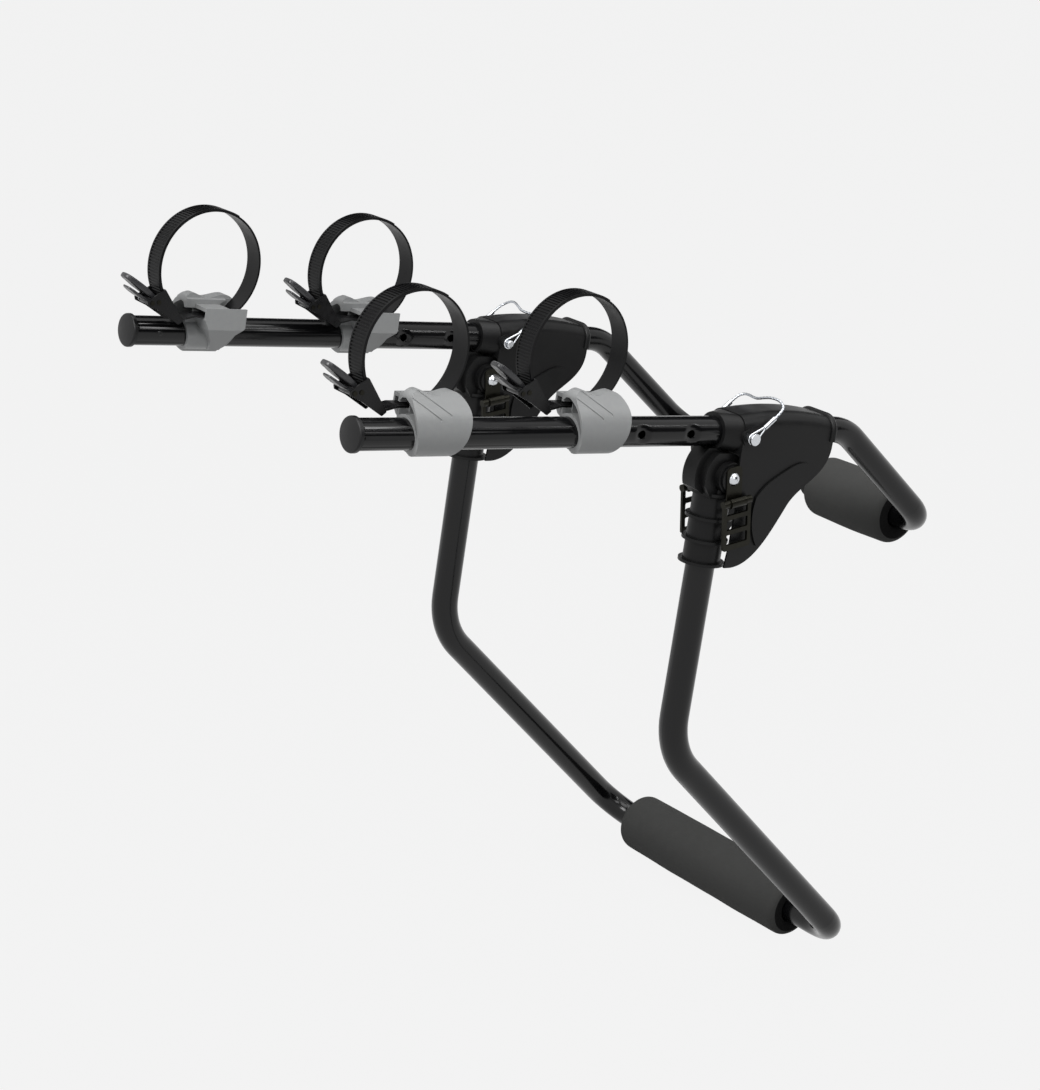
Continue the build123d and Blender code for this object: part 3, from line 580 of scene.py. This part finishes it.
# %% Dress the CAD nodes
finishes = (
    ("upper_frame_tube", powder_coat),
    ("lower_frame_tube", powder_coat),
    ("arm_cap", cap_plastic),
    ("arm_", powder_coat),
    ("upper_pad_collars", collar_rubber),
    ("hub_shroud", hub_nylon),
    ("leg_knuckle", hub_nylon),
    ("cradle", cradle_nylon),
    ("strap", strap_urethane),
    ("buckle_base", buckle_nylon),
    ("ratchet_lever", buckle_nylon),
    ("release_tab", buckle_nylon),
    ("buckle_pins", dark_plate),
    ("tie_bracket", dark_plate),
    ("ladder_buckle", dark_plate),
)
for name, node in nodes.items():
    fitting = (finish for start, finish in finishes if name.startswith(start))
    node.material_slots[0].material = next(fitting, bright_zinc)
print("dressed", len(nodes), "nodes")

# %% [markdown]
# ## Foam pads
# The pads are sleeves of closed-cell foam, cut to length and pushed on the crossbars.
# The outer skin is dark grey and velvety, and the cut ends are blacker and more open.
# The cells of the real foam are about half a millimetre wide, and they are drawn at 1.1 mm and
# 1.4 mm so that they show.

# %% Foam finishes
foam_patch = 12 * mm
skin_cell = 1.1 * mm
skin_depth = 0.18 * mm
cut_cell = 1.4 * mm
cut_depth = 0.5 * mm

foam_skin, tree, shader, place = finish_from("foam_skin", {"Specular IOR Level": 0.2})
drift(tree, shader, place, foam_patch, ("373736", "424241"), (0.86, 0.98), detail=4.0)
raise_skin(tree, shader, place, skin_cell, skin_depth, 0.5, cells=True)

open_foam = {"Base Color": srgb("131313"), "Roughness": 1.0, "Specular IOR Level": 0.1}
foam_cut, tree, shader, place = finish_from("cut_foam", open_foam)
raise_skin(tree, shader, place, cut_cell, cut_depth, 0.8, cells=True)
print(foam_skin.name, foam_cut.name)

# %% [markdown]
# A sleeve's outline starts in the bore, turns out over the cut end, rounds the edge and runs along
# the skin, which swells a little between the ends. The far end mirrors the near one.

# %% The outline of a pad
pad_radius = 0.036
pad_edge = 0.009
pad_swell = 0.0008
edge_steps = 6
station_gap = 0.012
fewest_stations = 12


def pad_outline(x_near, x_far, core):
    """Places along X with their radii, from the bore at one end over the skin to the other bore."""
    wall = pad_radius - pad_edge - core
    end = [(4 * mm, core), (1 * mm, core + 0.8 * mm), (0.0, core + 4 * mm)]
    end += [(-0.4 * mm, core + wall * part) for part in (0.45, 0.75)]
    for step in range(edge_steps + 1):
        angle = pi / 2 * step / edge_steps
        end.append((pad_edge * (1 - cos(angle)), pad_radius - pad_edge * (1 - sin(angle))))
    length = x_far - x_near - 2 * pad_edge
    steps = max(fewest_stations, round(length / station_gap))
    middle = []
    for step in range(1, steps):
        part = step / steps
        middle.append((x_near + pad_edge + length * part, pad_radius + pad_swell * sin(pi * part)))
    near = [(x_near + depth, radius) for depth, radius in end]
    far = [(x_far - depth, radius) for depth, radius in reversed(end)]
    return near + middle + far


print("a pad is", round(2 * pad_radius / mm), "mm thick")

# %% [markdown]
# The outline could be spun round the bar. It is extruded from ring to ring instead, and each ring
# scaled and moved, which leaves whole rings to join up inside the bore.
# Noise then lifts and sinks the skin by half a millimetre, because foam that was cut by hand is
# uneven, and one level of subdivision smooths it.

# %% Foam sleeves
around = 72
lump_height = 0.0005
lump_scale = (22, 40, 40)
lump_shift = 7
bore_margin = 0.006
cut_share = 0.75


def sleeve_shape(stations):
    """A closed sleeve: one ring of points, extruded from station to station, its ends bridged."""
    bm = bmesh.new()
    bmesh.ops.create_circle(bm, segments=around, radius=1.0)
    bmesh.ops.rotate(bm, verts=bm.verts, matrix=Matrix.Rotation(pi / 2, 3, "Y"))
    x, radius = stations[0]
    bmesh.ops.scale(bm, verts=bm.verts, vec=(1, radius, radius))
    bmesh.ops.translate(bm, verts=bm.verts, vec=(x, 0, 0))
    first_ring = ring = list(bm.edges)
    for next_x, next_radius in stations[1:]:
        points, ring = extrude_ring(bm, ring)
        growth = next_radius / radius
        bmesh.ops.scale(bm, verts=points, vec=(1, growth, growth))
        bmesh.ops.translate(bm, verts=points, vec=(next_x - x, 0, 0))
        x, radius = next_x, next_radius
    bmesh.ops.bridge_loops(bm, edges=first_ring + ring)
    bmesh.ops.recalc_face_normals(bm, faces=bm.faces)
    return bm


def foam_sleeve(name, centre, x_near, x_far, core):
    """A foam sleeve along X, with rounded edges, a slight swell and hand-made unevenness."""
    bm = sleeve_shape(pad_outline(x_near, x_far, core))
    for vert in bm.verts:
        out = Vector((0, vert.co.y, vert.co.z))
        if out.length > core + bore_margin:
            spot = Vector([x * scale for x, scale in zip(vert.co, lump_scale)])
            lump = noise.noise(spot + Vector(centre) * lump_shift)
            vert.co += out.normalized() * lump * lump_height
    for face in bm.faces:
        face.smooth = True
        middle = face.calc_center_median()
        out = Vector((0, middle.y, middle.z)).length
        face.material_index = 1 if out < pad_radius - pad_edge * cut_share else 0
    bmesh.ops.translate(bm, verts=bm.verts, vec=centre)
    pad = object_from(bm, name)
    pad.data.materials.append(foam_skin)
    pad.data.materials.append(foam_cut)
    soften = pad.modifiers.new("soften", "SUBSURF")
    soften.levels = 1
    soften.render_levels = 1
    return pad


print("a ring has", around, "points")

# %% The three pads
upper_core = 0.0144
lower_core = 0.0160
upper_bar = (0.0, 0.0, 0.0)
lower_bar = (0.0, -0.1065, -0.499)

for name, body, node, place_args in (
    ("upper_foam_right", "rack", "upper_pad_right", (upper_bar, 0.040, 0.166, upper_core)),
    ("upper_foam_left", "rack", "upper_pad_left", (upper_bar, -0.166, -0.040, upper_core)),
    ("lower_foam", "lower_frame", "lower_pad", (lower_bar, -0.162, 0.130, lower_core)),
):
    pad = foam_sleeve(name, *place_args)
    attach(pad, body)
    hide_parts(node)
    print(name, len(pad.data.polygons), "faces")

# %% [markdown]
# ## Pressed arms
# Each adjusting hole was pierced through the tube after a punch had pressed a shallow dish there.
# The dish bends the long highlight on the tube, so it has to be real shape and not a bump.
# A copy of the arm is cut into small facets round each hole, and the points near it are pushed in.

# %% Cuts round a hole
hole_places = (56.0, 124.0)
dish_radius = 12.5
dish_depth = 2.3
dish_step = 1.25
dish_margin = 0.5
same_point = 1e-6


def show_edges(mesh, angle):
    """Shade smoothly, but keep edges that turn by more than this angle crisp."""
    mesh.polygons.foreach_set("use_smooth", [True] * len(mesh.polygons))
    mesh.set_sharp_from_angle(angle=radians(angle))


def reaches(face, centre, limit):
    """Whether a face lies at least partly within this distance of the centre, along the arm."""
    along = [(vert.co - centre).dot(out_dir) for vert in face.verts]
    return min(along) < limit and max(along) > -limit


def cut_across(bm, centre, place, normal):
    """Cut the arm's wall near a hole along one plane."""
    near = [face for face in bm.faces if reaches(face, centre, (dish_radius + dish_margin) * mm)]
    rims = dict.fromkeys(part for face in near for part in (*face.edges, *face.verts))
    geometry = near + list(rims)
    bmesh.ops.bisect_plane(bm, geom=geometry, dist=same_point, plane_co=place, plane_no=normal)


print("each dish is", 2 * dish_radius, "mm wide and", dish_depth, "mm deep")

# %% Arms with dished holes
crisp_tube = 40


def pressed_arm(name, node, side):
    """A copy of one arm, its tube wall pressed in round the adjusting holes."""
    bm = bmesh.new()
    bm.from_mesh(nodes[node].data)
    bmesh.ops.remove_doubles(bm, verts=bm.verts, dist=same_point)
    steps = round(dish_radius / dish_step)
    for hole in hole_places:
        centre = from_hub(hole, 0, 0, side)
        for step in range(-steps, steps + 1):
            offset = step * dish_step
            cut_across(bm, centre, from_hub(hole + offset, 0, 0, side), out_dir)
            cut_across(bm, centre, from_hub(hole, offset, 0, side), up_dir)
    for vert in bm.verts:
        for hole in hole_places:
            away = vert.co - from_hub(hole, 0, 0, side)
            reach = Vector((away.dot(out_dir), away.dot(up_dir))).length / (dish_radius * mm)
            if reach < 1:
                vert.co.x -= copysign(dish_depth * mm * (1 - reach**2) ** 2, away.x)
    bmesh.ops.triangulate(bm, faces=[face for face in bm.faces if len(face.verts) > 4])
    arm = object_from(bm, name)
    show_edges(arm.data, crisp_tube)
    arm.data.materials.append(powder_coat)
    return arm


for side, word in ((1, "right"), (-1, "left")):
    arm = pressed_arm("pressed_arm_" + word, "arm_" + word, side)
    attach(arm, "rack")
    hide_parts("arm_" + word)
    print(arm.name, len(arm.data.polygons), "faces")

# %% [markdown]
# A blind rivet near each arm's tip, on its inner side, keeps the cradles from sliding off.
# Its head is a low dome with the small pit that the broken mandrel leaves: a ball, flattened and
# half sunk in the wall, with the points near its pole pushed down.

# %% Stop rivets
rivet_place = (446.0, 1.0)
rivet_radius = 3.2
rivet_height = 1.7
rivet_sink = 0.3
arm_radius = 15.9
pit_share = 0.3
pit_drop = 0.25


def stop_rivet(name, side):
    """The head of a rivet that is set in the arm's inner wall."""
    bm = bmesh.new()
    bmesh.ops.create_uvsphere(bm, u_segments=28, v_segments=18, radius=1.0)
    for vert in bm.verts:
        reach = Vector((vert.co.x, vert.co.y)).length
        if vert.co.z > 0 and reach < pit_share:
            vert.co.z -= pit_drop * (1 - (reach / pit_share) ** 2)
    size = Vector((rivet_radius, rivet_radius, rivet_height)) * mm
    bmesh.ops.scale(bm, verts=bm.verts, vec=size)
    seat = Matrix.Translation(from_hub(*rivet_place, rivet_sink - arm_radius, side))
    inward = Matrix.Rotation(-side * pi / 2, 4, "Y")
    bmesh.ops.transform(bm, verts=bm.verts, matrix=seat @ inward)
    for face in bm.faces:
        face.smooth = True
    rivet = object_from(bm, name)
    rivet.data.materials.append(powder_coat)
    return rivet


for side, word in ((1, "right"), (-1, "left")):
    rivet = stop_rivet("stop_rivet_" + word, side)
    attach(rivet, "rack")
    print(rivet.name, len(rivet.data.polygons), "faces")

# %% [markdown]
# ## Ratchet levers and release tabs
# Both are moulded paddles: a round boss on the pin, and a blade that widens, thins and ends in a
# rounded tip, with a dish for the thumb.
# Their places are given from the strap, in millimetres: x outwards from its loop, y up along it.

# %% Places on a buckle
cradle_places = (("front", 383.0), ("rear", 180.0))
loop_centre = (23.0, 77.0)
buckle_radius = 61.5
buckle_turn = radians(-38)
strap_line = -23.0


def on_buckle(cradle_s, x, y, w=0.0):
    """A place on a right-hand buckle: x out of the loop, y up the strap, w out from its middle."""
    reach = buckle_radius + x
    s = cradle_s + loop_centre[0] + reach * cos(buckle_turn) - y * sin(buckle_turn)
    n = loop_centre[1] + reach * sin(buckle_turn) + y * cos(buckle_turn)
    return from_hub(s, n, strap_line + w)


print("the rear buckle stands at", [round(x, 3) for x in on_buckle(180.0, 0, 0)])

# %% [markdown]
# Each station of a blade gives its place, x and y, and half its width and half its thickness.
# A box with bevelled edges would be quicker, but it couldn't swell in the middle and thin out to
# the tip as the real blade does.

# %% Sizes of a lever and a tab
lever_stations = (
    (8.4, 9.0, 9.4, 2.5),
    (10.0, 15.0, 9.6, 3.2),
    (12.6, 23.0, 9.8, 3.8),
    (15.7, 31.0, 9.8, 3.9),
    (18.7, 39.0, 9.4, 3.7),
    (20.8, 44.5, 8.8, 3.4),
    (22.1, 48.2, 7.4, 2.9),
    (22.8, 50.0, 4.6, 2.0),
)
tab_stations = (
    (15.7, 12.0, 8.6, 1.5),
    (19.2, 18.0, 9.0, 1.7),
    (22.0, 24.0, 9.2, 1.8),
    (24.4, 30.0, 9.0, 1.7),
    (26.2, 35.0, 7.8, 1.4),
    (27.2, 38.0, 4.6, 0.9),
)
lever_pin = (9.0, 6.0)
lever_boss = (4.2, 11.0)
lever_dish = (23.0, 40.0, 11.0, 1.0)
tab_pin = (15.8, 10.0)
tab_boss = (3.1, 10.0)
tab_dish = (26.6, 31.0, 8.0, 0.5)
print("a lever is", lever_stations[-1][1] - lever_pin[1], "mm long")

# %% [markdown]
# The blade's section is a circle of radius one, squared up a little, and each station stretches it
# to its own width and thickness, square to the way the blade runs there.

# %% Blades
section_points = 28
squareness = 0.45


def rounded_power(value):
    """The value with its sign kept and its size drawn out, which squares up a circle."""
    return copysign(abs(value) ** squareness, value)


def station_matrix(cradle_s, station, ahead, behind):
    """Turn a unit ring into the blade's section at one station."""
    x, y, half_width, half_thick = station
    run = on_buckle(cradle_s, *ahead[:2]) - on_buckle(cradle_s, *behind[:2])
    run.normalize()
    across = Vector((1, 0, 0))
    width, thickness = across * half_width * mm, run.cross(across) * half_thick * mm
    return standing(on_buckle(cradle_s, x, y), width, thickness, run * mm)


def blade(cradle_s, stations):
    """One ring of points, extruded from station to station and closed at both ends."""
    bm = bmesh.new()
    bmesh.ops.create_circle(bm, segments=section_points, radius=1.0)
    for vert in bm.verts:
        vert.co = Vector((rounded_power(vert.co.x), rounded_power(vert.co.y), 0))
    behind = stations[:1] + stations[:-1]
    ahead = stations[1:] + stations[-1:]
    matrices = [station_matrix(cradle_s, *trio) for trio in zip(stations, ahead, behind)]
    bmesh.ops.transform(bm, verts=bm.verts, matrix=matrices[0])
    ring = list(bm.edges)
    bmesh.ops.contextual_create(bm, geom=ring)
    for before, after in zip(matrices, matrices[1:]):
        points, ring = extrude_ring(bm, ring)
        bmesh.ops.transform(bm, verts=points, matrix=after @ before.inverted())
    bmesh.ops.contextual_create(bm, geom=ring)
    bmesh.ops.recalc_face_normals(bm, faces=bm.faces)
    return bm


print("a section has", section_points, "points")

# %% [markdown]
# The outer face of each blade is dished near its tip, so that a thumb finds it.
# The blade is subdivided once, which gives it the points for that, and those near the dish's middle
# are pushed in.
# The boss is a short cylinder with softly bevelled rims, and pokes a little way out of the blade.

# %% Thumb dishes and bosses
blade_lean = radians(21)
dish_skin = 1.0
boss_points = 40
boss_bevel = 0.5
crisp_paddle = 50


def press_dish(bm, cradle_s, x, y, radius, depth):
    """Press a thumb's dish in the outer face of a blade."""
    bmesh.ops.subdivide_edges(bm, edges=list(bm.edges), cuts=1, use_grid_fill=True)
    centre = on_buckle(cradle_s, x, y)
    outward = on_buckle(cradle_s, cos(blade_lean), -sin(blade_lean)) - on_buckle(cradle_s, 0, 0)
    outward.normalize()
    for vert in bm.verts:
        away = (vert.co - centre).length / (radius * mm)
        if away < 1 and (vert.co - centre).dot(outward) > -dish_skin * mm:
            vert.co -= outward * depth * mm * (1 - away**2) ** 2


def add_boss(bm, cradle_s, pin, radius, half_width):
    """Set a round boss on the pin, its rims bevelled."""
    boss = bmesh.ops.create_cone(
        bm,
        cap_ends=True,
        segments=boss_points,
        radius1=radius * mm,
        radius2=radius * mm,
        depth=2 * half_width * mm,
        matrix=Matrix.Translation(on_buckle(cradle_s, *pin)) @ Matrix.Rotation(pi / 2, 4, "Y"),
    )
    edges = dict.fromkeys(edge for vert in boss["verts"] for edge in vert.link_edges)
    rims = [e for e in edges if abs(e.verts[0].co.x - e.verts[1].co.x) < same_point]
    bmesh.ops.bevel(
        bm,
        geom=rims,
        offset=boss_bevel * mm,
        offset_type="OFFSET",
        segments=3,
        profile=0.5,
        affect="EDGES",
        material=-1,
    )


def paddle(name, cradle_s, side, stations, pin, boss, dish):
    """A moulded blade on a round boss that turns on its pin, mirrored for the left-hand side."""
    bm = blade(cradle_s, stations)
    press_dish(bm, cradle_s, *dish)
    add_boss(bm, cradle_s, pin, *boss)
    if side < 0:
        bmesh.ops.scale(bm, verts=bm.verts, vec=(-1, 1, 1))
    bmesh.ops.recalc_face_normals(bm, faces=bm.faces)
    made = object_from(bm, name)
    show_edges(made.data, crisp_paddle)
    # The paddle takes the nylon with the painted sheen.
    made.data.materials.append(paddle_nylon_painted_sheen)
    return made


print("a boss has", boss_points, "sides")

# %% Four levers and four tabs
paddles = (
    ("lever_paddle_", "ratchet_lever_", (lever_stations, lever_pin, lever_boss, lever_dish)),
    ("tab_paddle_", "release_tab_", (tab_stations, tab_pin, tab_boss, tab_dish)),
)
buckles = []
for row_name, cradle_s in cradle_places:
    for side, word in ((1, "right"), (-1, "left")):
        buckles.append((row_name + "_" + word, cradle_s, side))

for place_name, cradle_s, side in buckles:
    for name, node, sizes in paddles:
        piece = paddle(name + place_name, cradle_s, side, *sizes)
        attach(piece, node + place_name)
        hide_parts(node + place_name)
        print(piece.name, len(piece.data.polygons), "faces")

# %% [markdown]
# ## Tab springs
# A release tab is held down by a closely wound spring on its pin.
# A curve could be laid point by point. The spin operator is quicker: it turns one small circle
# about the pin while it moves it along, and leaves the coil behind.

# %% Coiled springs
spring_near = 10.4
spring_turns = 3
steps_per_turn = 20
wire_radius = 0.28
wire_points = 10
coil_radius = 2.2
crisp_spring = 60


def tab_spring(name, cradle_s, side):
    """A short helical spring round the release tab's pin."""
    bm = bmesh.new()
    bmesh.ops.create_circle(bm, cap_ends=False, segments=wire_points, radius=wire_radius * mm)
    bmesh.ops.translate(bm, verts=bm.verts, vec=(coil_radius * mm, 0, 0))
    bmesh.ops.rotate(bm, verts=bm.verts, matrix=Matrix.Rotation(pi / 2, 3, "X"))
    steps = steps_per_turn * spring_turns
    bmesh.ops.spin(
        bm,
        geom=bm.edges[:] + bm.verts[:],
        axis=(0, 0, 1),
        dvec=(0, 0, 2 * wire_radius * mm * spring_turns / steps),
        angle=2 * pi * spring_turns,
        steps=steps,
    )
    ends = [edge for edge in bm.edges if edge.is_boundary]
    bmesh.ops.holes_fill(bm, edges=ends, sides=wire_points)
    seat = Matrix.Translation(on_buckle(cradle_s, *tab_pin, spring_near))
    bmesh.ops.transform(bm, verts=bm.verts, matrix=seat @ Matrix.Rotation(pi / 2, 4, "Y"))
    if side < 0:
        bmesh.ops.scale(bm, verts=bm.verts, vec=(-1, 1, 1))
    bmesh.ops.recalc_face_normals(bm, faces=bm.faces)
    spring = object_from(bm, name)
    show_edges(spring.data, crisp_spring)
    spring.data.materials.append(bright_zinc)
    return spring


for place_name, cradle_s, side in buckles:
    spring = tab_spring("coil_spring_" + place_name, cradle_s, side)
    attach(spring, "cradle_" + place_name)
    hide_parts("tab_spring_" + place_name)
    print(spring.name, len(spring.data.polygons), "faces")

# %% Finish
bpy.context.view_layer.update()
